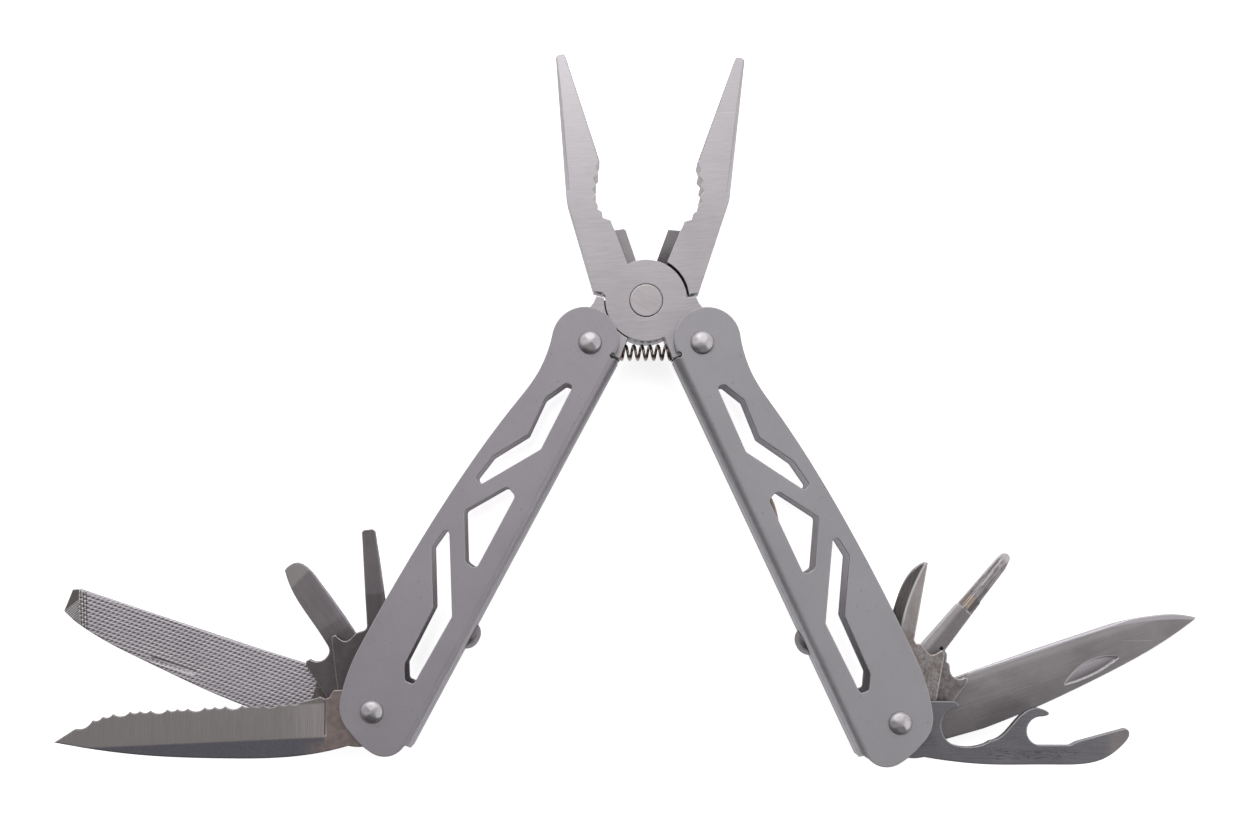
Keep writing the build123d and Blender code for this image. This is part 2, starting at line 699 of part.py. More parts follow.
def cross_driver(origin, side):
    t = STACK_R[2]
    plane = tool_level(origin, DIR_CROSS, STACK_R, 2)
    hook = [(16.1, 0.4), (15.9, 1.4), (15.1, 2.2), (14.6, 3.4), (14.9, 4.7), (15.9, 5.4)]
    with BuildPart() as built:
        with BuildSketch(plane):
            with BuildLine():
                Polyline(*handed(side, [(4.0, -5.2), (10.0, -5.9), (15.5, -5.85), (39.1, -4.9), (40.6, -4.75)]))
                ThreePointArc(*handed(side, [(40.6, -4.75), (41.65, -3.8), (40.6, -2.6)]))
                Polyline(*handed(side, [(40.6, -2.6), (38.8, -2.2), (17.7, -1.35), (17.4, -0.5), hook[0]]))
                Spline(*handed(side, hook))
                Polyline(*handed(side, [hook[-1], (16.2, 6.0), (15.4, 6.5), (5.0, 7.1)]))
                ThreePointArc(*handed(side, BACK))
                ThreePointArc(*handed(side, HEEL))
            make_face()
        extrude(amount=t)
        # flutes that leave a cross at the tip
        axis_y = -3.65
        for face in (0, t):
            spot = plane.from_local_coords((34.5, side * axis_y, face))
            with Locations(Plane(spot, x_dir=plane.x_dir, z_dir=(0, 0, 1))):
                for dy in (-1.15, 1.15):
                    with Locations((0, dy, 0)):
                        Box(15, 1.3, 1.6, rotation=(0, -4 if face else 4, 0), mode=Mode.SUBTRACT)
        thin_to(plane, t, 38.5, 41.8, 0.9)
        bore(plane, t)
    return built


def knife(origin, side):
    t = STACK_R[3]
    plane = tool_level(origin, DIR_KNIFE, STACK_R, 3)
    with BuildPart() as built:
        with BuildSketch(plane):
            with BuildLine():
                Polyline(*handed(side, [(4.0, -5.2), (14.0, -4.3), (18.0, -4.5), (33.5, -4.85), (48.0, -4.9)]))
                line = [(48.0, -4.9), (57.4, -3.9), (64.0, -2.1), (66.7, -0.65)]
                ends = handed(side, [(1, 0), (0.85, 0.52)])
                Spline(*handed(side, line), tangents=ends)
                Line(*handed(side, [(66.7, -0.65), (66.4, -0.25)]))
                Spline(*handed(side, [(66.4, -0.25), (55.2, 2.95), (43.6, 5.0), (30.0, 6.75), (17.0, 7.6)]))
                Polyline(*handed(side, [(17.0, 7.6), (5.0, 7.1)]))
                ThreePointArc(*handed(side, BACK))
                ThreePointArc(*handed(side, HEEL))
            make_face()
        extrude(amount=t)
        hollow_to(plane, side, t, 10.5, 70, 2.5, -5.2, 1.2)
        hollow_to(plane, side, t, 17.6, 70, -4.0, -5.0, 0.25)
        # nail nick
        spot = plane.from_local_coords((42.4, side * 2.9, t))
        with BuildSketch(Plane(spot, x_dir=plane.x_dir, z_dir=(0, 0, 1))) as nick:
            with BuildLine():
                ThreePointArc(*handed(side, [(-6.2, 1.3), (0, -1.7), (6.3, -0.6)]))
                ThreePointArc(*handed(side, [(6.3, -0.6), (0, 1.1), (-6.2, 1.3)]))
            make_face()
        extrude(amount=-0.6, mode=Mode.SUBTRACT)
        bore(plane, t)
    return built


def washers(origin, thicknesses):
    """Thin washers above, between and below the four tools."""
    with BuildPart() as built:
        top = Z_OUT
        for t in (*thicknesses, 0):
            with BuildSketch(Plane.XY.offset(top - TOOL_GAP / 2 - WASHER / 2)):
                with Locations(origin):
                    Circle(3.4)
                    Circle(RIVET_R, mode=Mode.SUBTRACT)
            extrude(amount=WASHER)
            top -= t + TOOL_GAP
    return built


# ---- write the pieces ----------------------------------------------------
save(jaw(NOSE_L, 1, 1), "pliers_jaw_left")
save(jaw(NOSE_R, -1, -1), "pliers_jaw_right")
save(pivot, "jaw_pivot_rivet")
save(coil, "jaw_spring")
for name, eye, tool, heading, side, bow, stack in (
    ("left", EYE_L, TOOL_L, HEADING_L, -1, 0.4, STACK_L),
    ("right", EYE_R, TOOL_R, HEADING_R, 1, 1.3, STACK_R),
):
    save(handle(eye, heading, side), f"handle_{name}")
    save(through_rivet(eye), f"tang_rivet_{name}")
    save(through_rivet(tool), f"tool_rivet_{name}")
    save(leaf_spring(eye, heading, side, bow), f"leaf_spring_{name}")
    save(leaf_rivet(eye, heading, side), f"leaf_rivet_{name}")
    save(washers(tool, stack), f"tool_washers_{name}")
save(serrated_blade(TOOL_L, 1), "serrated_blade")
save(small_flat(TOOL_L, 1), "small_flat_screwdriver")
save(large_flat(TOOL_L, 1), "large_flat_screwdriver")
save(file_tool(TOOL_L, 1), "file")
save(can_opener(TOOL_R, -1), "can_opener")
save(awl(TOOL_R, -1), "awl")
save(cross_driver(TOOL_R, -1), "phillips_screwdriver")
save(knife(TOOL_R, -1), "knife")
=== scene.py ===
import json
import math
import random

import bmesh
import bpy
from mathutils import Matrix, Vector

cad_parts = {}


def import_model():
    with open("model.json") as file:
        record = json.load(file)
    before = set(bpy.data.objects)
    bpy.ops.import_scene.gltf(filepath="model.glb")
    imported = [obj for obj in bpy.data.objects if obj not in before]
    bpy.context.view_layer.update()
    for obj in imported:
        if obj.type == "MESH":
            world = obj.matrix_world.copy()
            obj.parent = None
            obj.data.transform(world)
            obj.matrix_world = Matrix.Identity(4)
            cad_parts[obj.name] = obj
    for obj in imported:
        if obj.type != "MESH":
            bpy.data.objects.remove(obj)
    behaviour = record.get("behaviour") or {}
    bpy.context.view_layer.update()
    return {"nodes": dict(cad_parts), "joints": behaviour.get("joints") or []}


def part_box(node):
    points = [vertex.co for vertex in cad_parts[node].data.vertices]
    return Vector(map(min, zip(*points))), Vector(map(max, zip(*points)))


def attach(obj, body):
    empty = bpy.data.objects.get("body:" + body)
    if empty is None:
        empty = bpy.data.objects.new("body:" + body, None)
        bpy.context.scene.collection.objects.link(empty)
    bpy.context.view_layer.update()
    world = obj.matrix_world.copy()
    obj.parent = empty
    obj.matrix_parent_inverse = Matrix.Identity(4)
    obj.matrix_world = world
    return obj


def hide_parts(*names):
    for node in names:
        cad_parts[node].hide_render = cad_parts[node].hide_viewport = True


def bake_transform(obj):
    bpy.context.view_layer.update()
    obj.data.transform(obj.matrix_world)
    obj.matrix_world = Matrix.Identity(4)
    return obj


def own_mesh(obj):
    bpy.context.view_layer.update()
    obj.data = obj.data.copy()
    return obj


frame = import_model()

# ---- places, all from the frame --------------------------------------------
MM = 0.001
NODES = frame["nodes"]
JOINT = {j["name"]: Vector(j["pos_m"]) for j in frame["joints"]}
PIVOT = JOINT["jaw_close"]
EYE = {"left": JOINT["handle_left_fold"], "right": JOINT["handle_right_fold"]}
HUB = {"left": JOINT["file_fold"], "right": JOINT["knife_fold"]}
SIDE = {"left": -1, "right": 1}
HANDLE_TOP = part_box("handle_right")[1].z
FLOOR_GAP = 0.1 * MM        # keeps the floor off the feet's faces
CAMERA_HEIGHT = 0.45        # above the handles
RIM_GAIN = 12.0             # how quickly a rounded edge takes the painted rim highlight
WALL_TILT = 0.25            # walls whose normal's z is below this get the full painted shade
HEAD_OVERHANG = 0.7 * MM    # rivet heads past their shanks
SPRING_WIRE = 0.3 * MM


def heading(start, end):
    """Direction in plan from one place to another, in radians."""
    return math.atan2(end.y - start.y, end.x - start.x)


def add_object(name, data):
    made = bpy.data.objects.new(name, data)
    bpy.context.scene.collection.objects.link(made)
    return made


# directions in plan at rest: handles and noses in radians, tools in degrees
HANDLE_WAY = {k: heading(EYE[k], HUB[k]) for k in SIDE}
NOSE_WAY = {"left": math.radians(108.2), "right": math.radians(69.8)}
TOOL_WAY = {
    "serrated_blade": 180.0,
    "small_flat_screwdriver": 95.2,
    "large_flat_screwdriver": 122.6,
    "file": 162.5,
    "can_opener": 0.0,
    "awl": 80.0,
    "phillips_screwdriver": 50.9,
    "knife": 18.2,
}
LEFT_TOOLS = ("serrated_blade", "small_flat_screwdriver", "large_flat_screwdriver", "file")


# ---- node helpers ------------------------------------------------------------
class Graph:
    """A material's node tree, written as formulas on sockets."""

    def __init__(self, name):
        self.material = bpy.data.materials.new(name)
        self.material.use_nodes = True
        self.tree = self.material.node_tree
        self.tree.nodes.clear()

    def put(self, socket, value):
        if isinstance(value, bpy.types.NodeSocket):
            self.tree.links.new(value, socket)
        else:
            socket.default_value = value

    def node(self, kind, sockets=(), **settings):
        made = self.tree.nodes.new("ShaderNode" + kind)
        for key, value in settings.items():
            setattr(made, key, value)
        for key, value in dict(sockets).items():
            self.put(made.inputs[key], value)
        return made

    def calc(self, operation, a, b=0.0, clamp=False):
        return self.node("Math", {0: a, 1: b}, operation=operation, use_clamp=clamp).outputs[0]

    def add(self, a, b):
        return self.calc("ADD", a, b)

    def times(self, a, b):
        return self.calc("MULTIPLY", a, b)

    def swing(self, value, gain):
        """How far a 0-1 value is from a half, scaled."""
        return self.times(self.calc("SUBTRACT", value, 0.5), gain)

    def step(self, value, low, high):
        """0 below low, 1 above high, smooth between; low may be above high."""
        sockets = {0: value, 1: low, 2: high, 3: 0.0, 4: 1.0}
        return self.node("MapRange", sockets, interpolation_type="SMOOTHSTEP").outputs[0]

    def band(self, value, centre, half, soft):
        """1 within half of the centre, falling off over soft."""
        away = self.calc("ABSOLUTE", self.calc("SUBTRACT", value, centre))
        return self.step(away, half + soft, half)

    def mix(self, share, a, b, how="MIX"):
        made = self.node("Mix", data_type="RGBA", blend_type=how)
        self.put(made.inputs[0], share)
        self.put(made.inputs[6], a)
        self.put(made.inputs[7], b)
        return made.outputs[2]

    def local(self, origin, way, side=1):
        """Coordinates in millimetres from an origin, x along a direction and y to its side."""
        place = self.node("TexCoord").outputs["Object"]
        made = self.node("Mapping", vector_type="TEXTURE")
        self.put(made.inputs["Vector"], place)
        made.inputs["Location"].default_value = (origin.x, origin.y, 0)
        made.inputs["Rotation"].default_value = (0, 0, way)
        made.inputs["Scale"].default_value = (MM, side * MM, MM)
        return made.outputs[0]

    def stretched(self, coords, x, y, z=1.0):
        return self.node("VectorMath", {0: coords, 1: (x, y, z)}, operation="MULTIPLY").outputs[0]

    def noise(self, coords, scale=1.0, detail=3.0, rough=0.55, offset=0.0):
        if offset:
            moved = {0: coords, 1: (offset, offset, offset)}
            coords = self.node("VectorMath", moved, operation="ADD").outputs[0]
        sockets = {"Vector": coords, "Scale": scale, "Detail": detail, "Roughness": rough}
        return self.node("TexNoise", sockets).outputs[0]

    def split(self, coords):
        made = self.node("SeparateXYZ", {0: coords})
        return made.outputs[0], made.outputs[1], made.outputs[2]

    def finish(self, surface):
        """Make a shader the material's surface."""
        out = self.node("OutputMaterial")
        self.tree.links.new(surface.outputs[0], out.inputs[0])
        return self.material


def rgb(*values):
    """Linear colour from 0-255 screen values."""
    return tuple(((v / 255 + 0.055) / 1.055) ** 2.4 for v in values) + (1.0,)


def steel(
    name, light, dark, rough, coords_at, grain=(0.15, 6.0), grain_depth=0.5, blotch=0.12,
    blotch_size=0.12, rim=0.85, rim_mm=0.4, rim_tone=None, bump=0.02, wall_shade=0.45, detail=None,
):
    """Ground or blasted steel: grain along x, slow blotches, a painted highlight on rounded rims, painted
    shade on upright walls.

    detail(g, coords, colour, rough, height) may return them changed.
    """
    g = Graph(name)
    coords = g.local(*coords_at)
    fibres = g.noise(g.stretched(coords, grain[0], grain[1], 0.5), 1.0, 4.0, 0.6)
    cloud = g.noise(coords, blotch_size, 3.0, 0.6, 7.3)
    fine = g.noise(coords, 3.0, 2.0, 0.5, 3.1)
    share = g.add(g.swing(fibres, grain_depth * 2), 0.5)
    share = g.add(share, g.swing(cloud, blotch * 8))
    share = g.add(share, g.swing(fine, 0.25))
    share = g.calc("MINIMUM", g.calc("MAXIMUM", share, 0.0), 1.0)
    colour = g.mix(share, dark, light)
    roughness = g.add(g.swing(fibres, 0.25), g.add(g.times(cloud, 0.12), rough - 0.06))
    height = g.add(fibres, g.times(fine, 0.6))
    if detail:
        colour, roughness, height = detail(g, coords, colour, roughness, height)
    # painted shade: upright walls are darkened by their normal, standing in for the shade they fall in
    upright = g.calc("ABSOLUTE", g.split(g.node("TexCoord").outputs["Normal"])[2])
    shaded = g.mix(1.0, colour, (wall_shade, wall_shade, wall_shade, 1), "MULTIPLY")
    colour = g.mix(g.step(upright, 1 - WALL_TILT, WALL_TILT), colour, shaded)
    rounded = g.node("Bevel", {"Radius": rim_mm * MM}, samples=6).outputs[0]
    flat = g.node("NewGeometry").outputs["Normal"]
    facing = g.node("VectorMath", {0: rounded, 1: flat}, operation="DOT_PRODUCT").outputs["Value"]
    # painted highlight: colour along rounded rims is brightened, broken up by noise
    edge = g.calc("MULTIPLY", g.calc("SUBTRACT", 1.0, facing), RIM_GAIN, clamp=True)
    rim_highlight = g.times(edge, g.add(0.55, g.times(g.noise(coords, 1.7, 2.0, 0.5, 11.0), 0.9)))
    bright = rim_tone or tuple(min(1.0, c * 1.5 + 0.12) for c in light[:3]) + (1.0,)
    colour = g.mix(g.calc("MULTIPLY", rim_highlight, rim, clamp=True), colour, bright)
    bumped = g.node("Bump", {"Height": height, "Strength": 1.0, "Distance": bump * MM, "Normal": rounded})
    surface = g.node(
        "BsdfPrincipled",
        {"Base Color": colour, "Metallic": 1.0, "Roughness": roughness, "Normal": bumped.outputs[0]},
    )
    return g.finish(surface)


def dress(material, *names):
    for name in names:
        data = NODES[name].data
        data.materials.clear()
        data.materials.append(material)


# ---- handles -----------------------------------------------------------------
def handle_detail(g, coords, colour, rough, height):
    """Bead-blasted surface with sparse dark handling specks."""
    beads = g.noise(coords, 9.0, 2.0, 0.6, 1.9)
    pits = g.noise(coords, 1.9, 1.0, 0.4, 5.5)
    speck = g.step(pits, 0.74, 0.80)
    colour = g.mix(g.times(speck, 0.5), colour, rgb(92, 88, 92))
    colour = g.mix(g.times(g.calc("SUBTRACT", beads, 0.42, clamp=True), 0.7), colour, rgb(216, 212, 216))
    return colour, rough, g.add(height, g.times(beads, 2.2))


HANDLE_TONE = {
    "left": (rgb(185, 181, 187), rgb(157, 153, 159)),
    "right": (rgb(188, 186, 191), rgb(161, 158, 163)),
}
for name in SIDE:
    blasted = steel(
        f"blasted_steel_{name}", *HANDLE_TONE[name], 0.52, (EYE[name], HANDLE_WAY[name], SIDE[name]),
        grain=(0.6, 0.9), grain_depth=0.12, blotch=0.10, blotch_size=0.05, rim=0.8, rim_mm=0.3,
        rim_tone=rgb(212, 207, 206), bump=0.012, wall_shade=0.5, detail=handle_detail,
    )
    dress(blasted, f"handle_{name}")


# ---- pliers ------------------------------------------------------------------
def jaw_detail(nose_way, side):
    """Darker ground cutter blades, with the bright nicks of a used edge."""

    def detail(g, coords, colour, rough, height):
        x, y, z = g.split(g.local(PIVOT, nose_way, side))
        # the cutter blades lie 8 to 16.4 mm up the nose, just below its upper face
        blade = g.times(g.band(x, 12.2, 4.2, 0.2), g.step(y, 2.2, 1.9))
        blade = g.times(blade, g.step(z, 12.75, 12.55))
        nicks = g.step(g.noise(g.stretched(coords, 1.2, 3.0), 2.0, 2.0, 0.6, 2.7), 0.62, 0.72)
        tone = rgb(158, 154, 156) if side > 0 else rgb(134, 130, 133)
        edge = g.mix(g.times(nicks, 0.1 if side > 0 else 0.6), tone, rgb(220, 217, 216))
        colour = g.mix(g.times(blade, 0.85), colour, edge)
        colour = g.mix(g.times(g.step(x, 12.0, 52.0), 0.22), colour, rgb(140, 136, 138))
        scratch = g.noise(g.stretched(coords, 0.05, 5.0), 1.0, 2.0, 0.5, 4.4)
        colour = g.mix(g.times(g.step(scratch, 0.66, 0.76), 0.25), colour, rgb(236, 232, 230))
        return colour, rough, height

    return detail


for name in SIDE:
    ground = steel(
        f"ground_steel_{name}", rgb(211, 207, 211), rgb(174, 170, 174), 0.42, (PIVOT, math.radians(4)),
        grain=(0.22, 9.0), grain_depth=0.7, blotch=0.07, blotch_size=0.08, rim=0.25, rim_mm=0.2,
        bump=0.01, wall_shade=0.4, detail=jaw_detail(NOSE_WAY[name], -SIDE[name]),
    )
    dress(ground, f"pliers_jaw_{name}")


def pivot_detail(g, coords, colour, rough, height):
    """A thin dark seam round the ground pivot."""
    far = g.node("VectorMath", {0: g.stretched(coords, 1, 1, 0)}, operation="LENGTH").outputs["Value"]
    seam = g.step(far, 3.2, 3.4)
    return g.mix(g.times(seam, 0.8), colour, rgb(86, 80, 78)), rough, height


pin = steel(
    "pivot_face", rgb(216, 211, 212), rgb(178, 173, 175), 0.42, (PIVOT, math.radians(-28)),
    grain=(0.3, 8.0), grain_depth=0.6, rim=0.0, bump=0.01, detail=pivot_detail,
)
dress(pin, "jaw_pivot_rivet")


# ---- tools ---------------------------------------------------------------------
def mottle(g, coords, colour, share, tone, size=0.7):
    """Heat-stained patches over a tool's colour."""
    patch = g.step(g.noise(coords, size, 4.0, 0.65, 9.1), 0.40, 0.62)
    return g.mix(g.times(patch, share), colour, tone)


def serrated_detail(g, coords, colour, rough, height):
    """Warm ground face, dark blue-grey spine, stained tang behind the heel."""
    x, y, _ = g.split(coords)
    lean = math.tan(math.radians(2.6))
    line = g.add(5.3, g.times(g.calc("SUBTRACT", x, 9.6), lean))
    above = g.calc("SUBTRACT", y, line)
    spine = g.step(above, -0.2, 0.35)
    heel = g.step(x, 10.1, 9.8)
    brush = g.noise(g.stretched(coords, 4.5, 0.12), 1.0, 3.0, 0.6, 6.2)
    face = g.mix(brush, rgb(122, 118, 118), rgb(146, 142, 141))
    face = g.mix(g.times(g.times(g.step(x, 20.0, 11.0), brush), 0.5), face, rgb(182, 177, 173))
    band = g.mix(g.noise(coords, 1.5, 4.0, 0.7), rgb(106, 105, 114), rgb(134, 133, 141))
    tang = mottle(g, coords, rgb(150, 138, 135), 0.6, rgb(178, 160, 157))
    colour = g.mix(spine, face, band)
    colour = g.mix(heel, colour, tang)
    colour = g.mix(g.times(g.step(above, 0.0, 2.6), g.step(x, 16.0, 9.0)), colour, tang)
    seam = g.times(g.band(x, 9.85, 0.06, 0.12), g.step(y, 5.0, 4.6))
    colour = g.mix(seam, colour, rgb(84, 78, 76))
    return colour, rough, height


def screwdriver_detail(tip_at, lean):
    """Dark tumbled blade, ground flat at the tip, stained tang."""

    def detail(g, coords, colour, rough, height):
        x, y, _ = g.split(coords)
        tip = g.step(g.add(x, g.times(y, lean)), tip_at - 0.5, tip_at + 0.3)
        colour = g.mix(g.times(tip, 0.55), colour, rgb(172, 168, 165))
        lit = g.step(y, -3.4, -4.4)
        colour = g.mix(g.times(lit, 0.25), colour, rgb(176, 170, 178))
        tang = g.step(x, 18.5, 16.5)
        stained = mottle(g, coords, g.mix(0.6, colour, rgb(102, 98, 99)), 0.35, rgb(128, 120, 118))
        return g.mix(tang, colour, stained), rough, height

    return detail


def file_detail(g, coords, colour, rough, height):
    """Crossed cuts that leave rows of diamond teeth, a hatched end and a plain tip."""
    x, y, _ = g.split(coords)
    column_pitch = 0.8
    cut_pitch = 1.0
    cut_slope = 0.62
    row_pitch = 0.62
    hatch_pitch = 0.7
    hatch_slope = 1.37
    tip_slope = 0.34

    def wave(value, pitch):
        return g.add(0.5, g.times(g.calc("COSINE", g.times(value, 2 * math.pi / pitch)), 0.5))

    end = g.add(x, g.times(y, tip_slope))
    across = g.calc("SUBTRACT", x, g.times(y, cut_slope))
    pits = g.times(wave(g.add(y, g.times(x, 0.04)), column_pitch), wave(across, cut_pitch))
    uneven = g.add(0.7, g.times(g.noise(coords, 0.4, 2.0, 0.5), 0.6))
    pits = g.calc("MULTIPLY", g.calc("POWER", pits, 0.8), uneven, clamp=True)
    ridges = wave(g.add(across, cut_pitch / 2), cut_pitch)
    rows = wave(end, row_pitch)
    close = g.step(end, 63.2, 63.5)
    plain = g.step(end, 65.1, 65.3)
    from_corner = g.times(g.calc("SUBTRACT", x, 66.2), hatch_slope)
    corner = g.step(g.calc("SUBTRACT", g.add(y, 3.2), from_corner), 0.0, 0.15)
    heel = g.step(x, 13.6, 13.2)
    cut = g.mix(g.times(ridges, 0.5), colour, rgb(226, 222, 227))
    cut = g.mix(g.times(pits, 0.6), cut, rgb(112, 107, 111))
    cut = g.mix(close, cut, g.mix(rows, rgb(110, 105, 106), rgb(206, 202, 204)))
    lines = wave(g.calc("SUBTRACT", y, g.times(x, hatch_slope)), hatch_pitch)
    hatch = g.mix(lines, rgb(120, 116, 116), rgb(206, 203, 206))
    cut = g.mix(plain, cut, g.mix(corner, rgb(112, 108, 106), hatch))
    smear = g.times(g.band(x, 44.0, 5.5, 2.0), g.band(g.add(y, g.times(x, 0.12)), 8.3, 0.5, 0.6))
    cut = g.mix(g.times(smear, 0.6), cut, rgb(196, 192, 194))
    tang = mottle(g, coords, rgb(118, 112, 108), 0.5, rgb(150, 142, 136))
    colour = g.mix(heel, cut, tang)
    toothed = g.times(g.calc("SUBTRACT", 1.0, heel), g.calc("SUBTRACT", 1.0, plain))
    relief = g.times(g.calc("SUBTRACT", 1.0, pits), g.times(toothed, 1.6))
    return colour, rough, g.add(height, relief)


def opener_detail(g, coords, colour, rough, height):
    """Dark blue-grey stamped plate, speckled, scratched along its lower edge."""
    x, y, _ = g.split(coords)
    grit = g.noise(coords, 5.0, 2.0, 0.6, 1.2)
    colour = g.mix(g.times(g.step(grit, 0.52, 0.66), 0.35), colour, rgb(164, 164, 170))
    marks = g.noise(g.stretched(coords, 0.5, 6.0), 1.0, 3.0, 0.6, 3.3)
    where = g.times(g.band(x, 27.0, 8.0, 3.0), g.band(y, 6.6, 0.7, 0.6))
    colour = g.mix(g.times(g.step(marks, 0.5, 0.62), g.times(where, 0.6)), colour, rgb(62, 62, 68))
    tip = g.times(g.step(x, 41.6, 44.6), g.step(y, -1.0, 4.0))
    return g.mix(g.times(tip, 0.2), colour, rgb(186, 172, 156)), rough, height


def awl_detail(g, coords, colour, rough, height):
    """Tan-grey point with painted shade over a hollow along one side and a painted highlight on its
    crest.
    """
    x, y, _ = g.split(coords)
    stain = mottle(g, coords, colour, 0.8, rgb(150, 136, 130), 0.5)
    stain = mottle(g, coords, stain, 0.5, rgb(112, 102, 98), 1.6)
    point = mottle(g, coords, colour, 0.4, rgb(176, 162, 156), 0.9)
    colour = g.mix(g.step(x, 26.0, 14.0), point, stain)
    rise = g.calc("MAXIMUM", g.calc("SUBTRACT", x, 19.0), 0.0)
    ridge = g.add(-2.6, g.times(g.times(rise, rise), 0.0125))
    away = g.calc("SUBTRACT", y, ridge)
    beyond = g.step(x, 14.0, 16.0)
    # painted shade: the side beyond the curved ridge is darkened, with streaks
    streak = g.noise(g.stretched(coords, 0.5, 5.0), 1.0, 3.0, 0.6, 8.8)
    hollow_shade = g.mix(streak, rgb(70, 66, 66), rgb(134, 129, 129))
    colour = g.mix(g.times(g.step(away, 0.0, -0.3), beyond), colour, hollow_shade)
    # painted highlight along the ridge's crest
    crest_highlight = g.band(away, 0.05, 0.12, 0.2)
    colour = g.mix(g.times(crest_highlight, g.times(beyond, 0.9)), colour, rgb(230, 227, 228))
    return colour, rough, height


def phillips_detail(g, coords, colour, rough, height):
    """Two-tone grey shank, dark flutes, a tan patch above them and a bright point."""
    x, y, _ = g.split(coords)
    tang = g.step(x, 16.0, 14.0)
    stain = mottle(g, coords, colour, 0.6, rgb(116, 104, 99), 1.2)
    shank = g.mix(g.step(y, -4.7, -3.7), rgb(206, 202, 204), rgb(150, 146, 149))
    colour = g.mix(tang, g.mix(0.75, stain, shank), stain)
    tan = g.times(g.band(x, 28.8, 1.1, 0.5), g.band(y, -3.9, 0.7, 0.4))
    colour = g.mix(g.times(tan, 0.7), colour, rgb(204, 178, 152))
    fluted = g.step(x, 30.2, 31.0)
    shadows = g.step(g.noise(g.stretched(coords, 0.35, 1.4), 1.0, 3.0, 0.6), 0.42, 0.56)
    colour = g.mix(g.times(fluted, 0.7), colour, rgb(206, 201, 204))
    colour = g.mix(g.times(g.times(fluted, shadows), 0.6), colour, rgb(112, 104, 107))
    colour = g.mix(g.times(g.step(x, 39.6, 41.2), 0.7), colour, rgb(220, 216, 218))
    hole = g.times(g.band(x, 17.6, 0.2, 0.3), g.band(y, -2.2, 0.2, 0.3))
    return g.mix(hole, colour, rgb(30, 26, 26)), rough, height


def knife_detail(g, coords, colour, rough, height):
    """Brushed blade with a bright cutting bevel, a crescent nail nick and one long scratch."""
    x, y, _ = g.split(coords)
    colour = g.mix(g.times(g.step(y, -3.0, 5.5), 0.35), colour, rgb(112, 108, 108))
    colour = g.mix(g.times(g.band(y, -3.4, 0.0, 1.4), 0.35), colour, rgb(200, 196, 196))
    # the cutting edge runs straight to 46 mm and then curves up to the point
    tail = g.calc("MAXIMUM", g.calc("SUBTRACT", x, 46.0), 0.0)
    edge = g.add(-4.85, g.times(g.times(tail, tail), 0.0098))
    width = g.calc("SUBTRACT", 1.15, g.times(x, 0.008))
    below = g.step(g.calc("SUBTRACT", y, g.add(edge, width)), 0.06, -0.06)
    bevel = g.times(below, g.step(x, 17.2, 17.8))
    colour = g.mix(g.times(bevel, 0.9), colour, rgb(196, 193, 198))
    # the nick lies between two arcs over the same 12.6 mm chord
    half_chord = 6.3
    u = g.calc("SUBTRACT", x, 42.45)
    v = g.add(g.calc("SUBTRACT", y, 2.9), g.times(u, 0.152))
    reach = g.calc("SUBTRACT", 1.0, g.calc("POWER", g.calc("ABSOLUTE", g.times(u, 1 / half_chord)), 2.0))
    inner = g.add(v, g.times(reach, 2.05))
    outer = g.calc("SUBTRACT", g.add(0.35, g.times(reach, 0.75)), v)
    nick = g.times(g.step(inner, 0.0, 0.12), g.step(outer, 0.0, 0.12))
    shade = g.mix(g.step(v, -1.6, 1.0), rgb(196, 191, 198), rgb(118, 114, 118))
    colour = g.mix(g.times(nick, 0.85), colour, shade)
    slant = g.calc("SUBTRACT", y, g.times(x, 0.32))
    mark = g.times(g.band(x, 53.5, 2.2, 1.5), g.band(slant, -16.9, 0.02, 0.1))
    return g.mix(g.times(mark, 0.3), colour, rgb(214, 210, 210)), rough, height


TUMBLED = (rgb(138, 133, 135), rgb(108, 103, 106))
LAVENDER = rgb(214, 208, 220)
TOOL_LOOK = {
    "serrated_blade": dict(tone=TUMBLED, rough=0.40, grain=(5.0, 0.25), detail=serrated_detail),
    "small_flat_screwdriver": dict(
        tone=(rgb(126, 121, 123), rgb(98, 93, 96)), rough=0.42, rim_tone=LAVENDER,
        detail=screwdriver_detail(60.0, 0.0),
    ),
    "large_flat_screwdriver": dict(
        tone=(rgb(146, 141, 143), rgb(114, 109, 112)), rough=0.42, rim_tone=LAVENDER,
        detail=screwdriver_detail(31.0, 0.25),
    ),
    "file": dict(
        tone=(rgb(204, 199, 205), rgb(172, 167, 173)), rough=0.42, bump=0.04, rim=0.4,
        detail=file_detail,
    ),
    "can_opener": dict(
        tone=(rgb(140, 138, 142), rgb(108, 106, 111)), rough=0.40, rim=0.9, detail=opener_detail,
    ),
    "awl": dict(
        tone=(rgb(200, 195, 196), rgb(160, 155, 155)), rough=0.36, rim=0.5, detail=awl_detail,
    ),
    "phillips_screwdriver": dict(
        tone=(rgb(176, 171, 172), rgb(134, 128, 129)), rough=0.34, detail=phillips_detail,
    ),
    "knife": dict(
        tone=(rgb(170, 166, 167), rgb(132, 128, 130)), rough=0.34, grain=(0.12, 7.0), grain_depth=0.5,
        rim_tone=rgb(240, 238, 242), detail=knife_detail,
    ),
}
for tool, degrees in TOOL_WAY.items():
    left = tool in LEFT_TOOLS
    at = (HUB["left" if left else "right"], math.radians(degrees), 1 if left else -1)
    look = dict(TOOL_LOOK[tool])
    tone = look.pop("tone")
    dress(steel(f"{tool}_steel", *tone, look.pop("rough"), at, **look), tool)


# ---- rivets, built again with hammered heads ---------------------------------
peened = steel(
    "peened_steel", rgb(216, 213, 216), rgb(174, 171, 174), 0.42, (PIVOT, 0.0), rim=0.0, wall_shade=0.7,
)
dull = steel(
    "dull_steel", rgb(150, 146, 150), rgb(112, 108, 112), 0.45, (PIVOT, 0.0), rim=0.0, wall_shade=0.6,
)
dress(dull, *[n for n in NODES if n.startswith(("leaf_rivet", "tool_washers"))])


